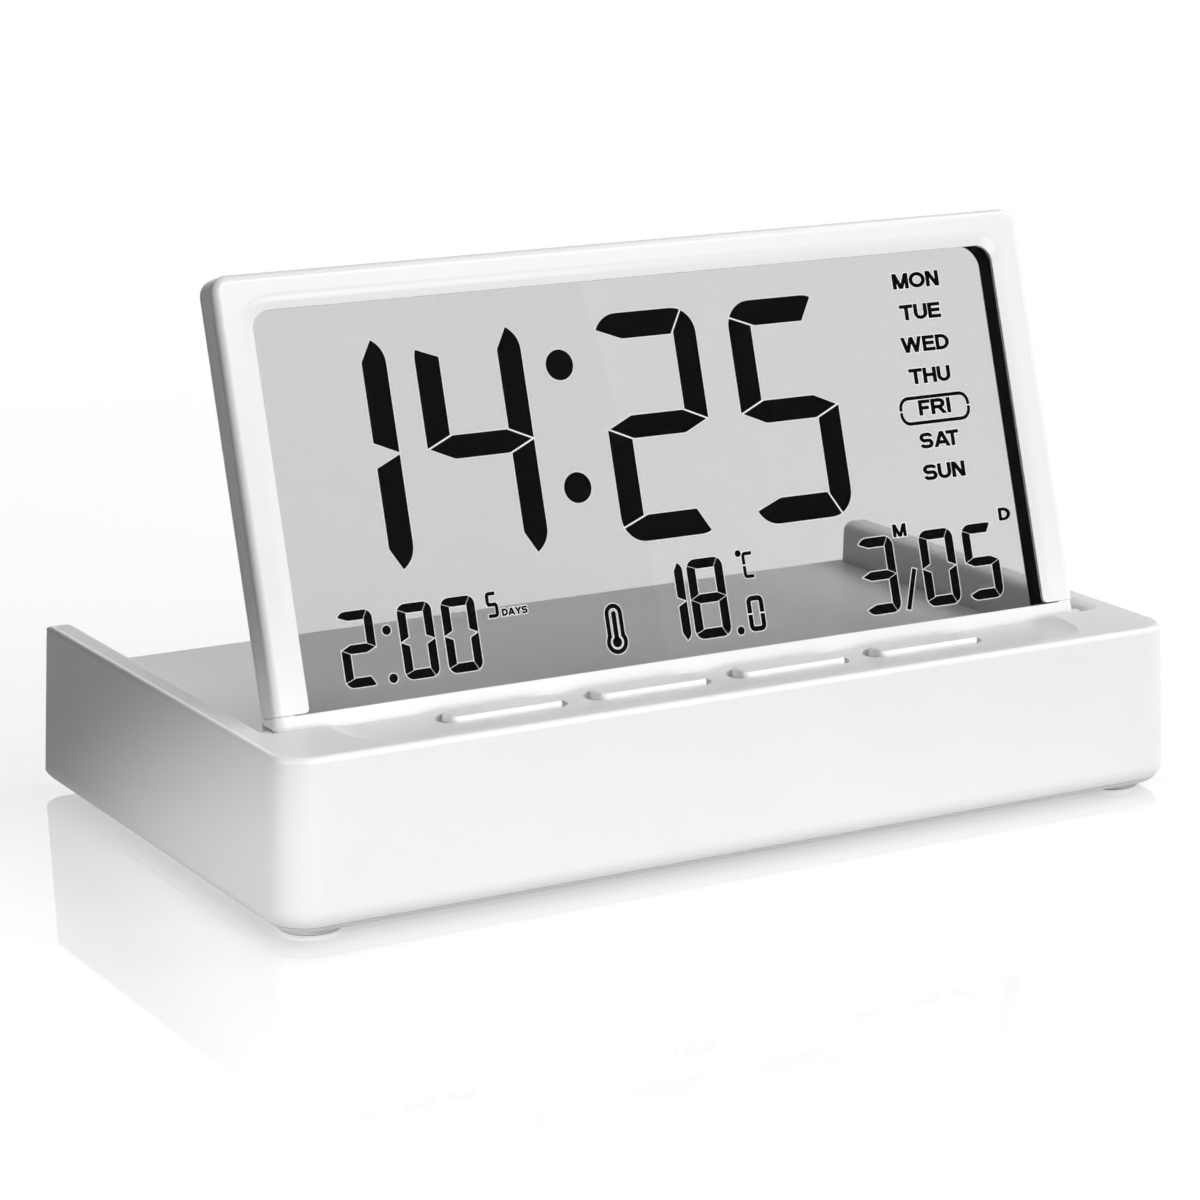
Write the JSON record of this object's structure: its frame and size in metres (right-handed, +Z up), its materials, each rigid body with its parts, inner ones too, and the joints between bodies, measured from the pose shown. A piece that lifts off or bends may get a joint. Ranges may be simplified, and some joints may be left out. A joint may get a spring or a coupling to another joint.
{
  "type": "alarm clock",
  "caption": "Folding desk alarm clock: a see-through LCD hinged in a white tray case, with press buttons along the front deck and a battery door underneath.",
  "frame": {"origin": "on the table under the middle of the case", "axes": "+X to the reader's right along the case, +Y to the back, +Z up"},
  "size_m": [0.166, 0.0958, 0.094],
  "materials": {
    "case_white": "smooth white ABS, half gloss",
    "frame_white": "polished white ABS",
    "button_white": "smooth white ABS",
    "foot_rubber": "soft white rubber",
    "liner_black": "black printed plastic",
    "lcd_glass": "clear plate glass",
    "polariser_film": "neutral grey polarising film",
    "steel": "plain turned steel",
    "screw_steel": "zinc plated steel",
    "contact_metal": "nickel plated spring strip",
    "nylon_white": "natural nylon",
    "board_green": "green solder mask",
    "black_plastic": "moulded black plastic",
    "cell_sleeve": "plain shrink sleeve over a steel can",
    "wire_red": "PVC insulation",
    "wire_black": "PVC insulation",
    "ribbon_film": "polyimide film"
  },
  "bodies": {
    "base": {"base_housing": "case_white", "bottom_cover": "case_white", "foot_front_left": "foot_rubber", "foot_front_right": "foot_rubber", "foot_rear_left": "foot_rubber", "foot_rear_right": "foot_rubber", "case_screws": "screw_steel", "main_circuit_board": "board_green", "board_screws": "screw_steel", "push_switch_1": "black_plastic", "push_switch_2": "black_plastic", "push_switch_3": "black_plastic", "push_switch_4": "black_plastic", "clock_chip": "black_plastic", "quartz_crystal": "steel", "buzzer": "black_plastic", "temperature_sensor": "black_plastic", "battery_cell_front": "cell_sleeve", "battery_cell_rear": "cell_sleeve", "battery_contact_positive": "contact_metal", "battery_contact_negative": "contact_metal", "battery_bridge": "contact_metal", "battery_wire_positive": "wire_red", "battery_wire_negative": "wire_black", "ribbon_socket": "nylon_white", "ribbon_fixed": "ribbon_film", "hinge_washer_left": "nylon_white", "hinge_washer_right": "nylon_white"},
    "display": {"frame_rear": "frame_white", "frame_front": "frame_white", "window_liner": "liner_black", "front_polariser": "polariser_film", "lcd_front_glass": "lcd_glass", "lcd_rear_glass": "lcd_glass", "rear_polariser": "polariser_film", "ribbon_moving": "ribbon_film", "hinge_pin_left": "steel", "hinge_pin_right": "steel"},
    "button_1": {"button_cap_1": "button_white", "switch_plunger_1": "black_plastic"},
    "button_2": {"button_cap_2": "button_white", "switch_plunger_2": "black_plastic"},
    "button_3": {"button_cap_3": "button_white", "switch_plunger_3": "black_plastic"},
    "button_4": {"button_cap_4": "button_white", "switch_plunger_4": "black_plastic"},
    "battery_door": {"battery_door": "case_white"}
  },
  "joints": [
    {"name": "display_hinge", "type": "hinge", "parent": "base", "child": "display", "pos_m": [0, -0.02675, 0.0249], "axis": [1, 0, 0], "range_deg": [-72.7, 0]},
    {"name": "button_1_press", "type": "slide", "parent": "base", "child": "button_1", "axis": [0, 0, -1], "range_m": [0, 0.0006], "stiffness_N_per_m": 1200, "springref_m": -0.0003},
    {"name": "button_2_press", "type": "slide", "parent": "base", "child": "button_2", "axis": [0, 0, -1], "range_m": [0, 0.0006], "stiffness_N_per_m": 1200, "springref_m": -0.0003},
    {"name": "button_3_press", "type": "slide", "parent": "base", "child": "button_3", "axis": [0, 0, -1], "range_m": [0, 0.0006], "stiffness_N_per_m": 1200, "springref_m": -0.0003},
    {"name": "button_4_press", "type": "slide", "parent": "base", "child": "button_4", "axis": [0, 0, -1], "range_m": [0, 0.0006], "stiffness_N_per_m": 1200, "springref_m": -0.0003},
    {"name": "battery_door_slide", "type": "slide", "parent": "base", "child": "battery_door", "axis": [0, 1, 0], "range_m": [0, 0.03]}
  ]
}
